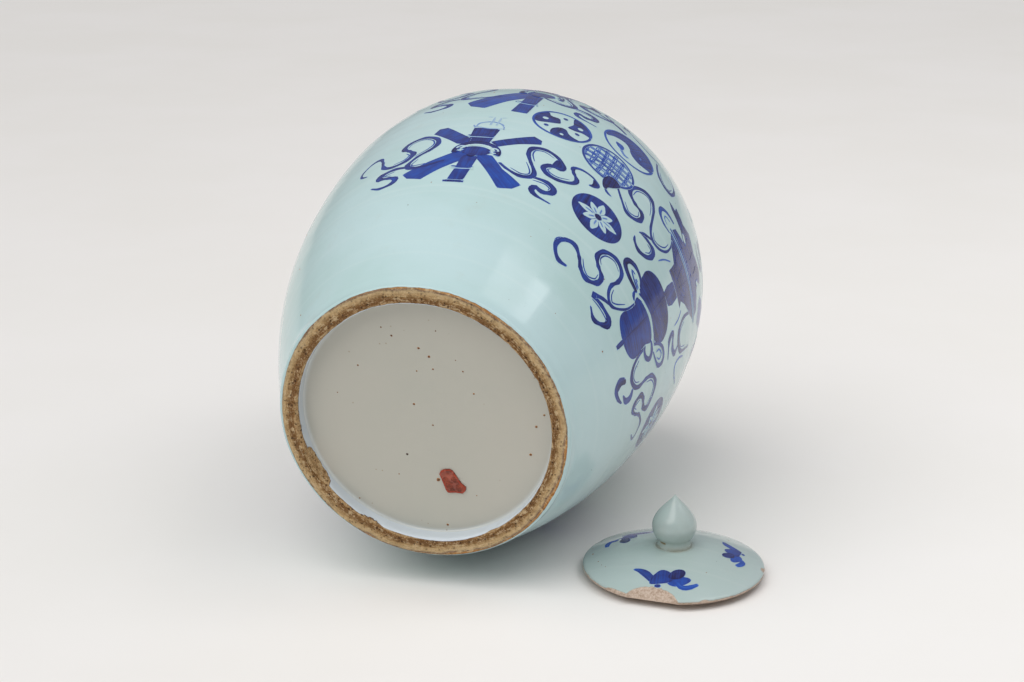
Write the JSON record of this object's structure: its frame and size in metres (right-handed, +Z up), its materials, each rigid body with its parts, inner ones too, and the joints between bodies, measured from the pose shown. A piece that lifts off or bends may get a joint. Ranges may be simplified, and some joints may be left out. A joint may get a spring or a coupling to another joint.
{
  "type": "ginger jar",
  "caption": "Ovoid glazed ceramic storage jar lying on its belly, with a low domed lid and bud-shaped knob set down beside it.",
  "frame": {"origin": "middle of the bounding box in X and Y, on the surface that the jar and the lid lie on", "axes": "+Z up; the jar's own axis lies in the YZ plane with its base towards -Y and its mouth towards +Y, rising 8 degrees; the lid is on the +X side"},
  "size_m": [0.3294, 0.3432, 0.2706],
  "materials": {
    "celadon_glaze": "glossy pale blue-green glaze",
    "base_glaze": "thin grey-white glaze with specks",
    "biscuit": "rough unglazed clay, stained brown",
    "wax": "dull cracked red wax"
  },
  "bodies": {
    "jar": {"foot_ring": "biscuit", "base_disc": "base_glaze", "lower_wall": "celadon_glaze", "belly_lower": "celadon_glaze", "belly_upper": "celadon_glaze", "shoulder": "celadon_glaze", "neck": "celadon_glaze", "wax_dab": "wax"},
    "lid": {"lid_dome": "celadon_glaze", "lid_flange": "biscuit", "lid_knob": "celadon_glaze"}
  },
  "joints": [
    {"name": "lid_lift", "type": "slide", "parent": "jar", "child": "lid", "axis": [0.5, 0, 0.866], "range_m": [0, 0.15]}
  ]
}
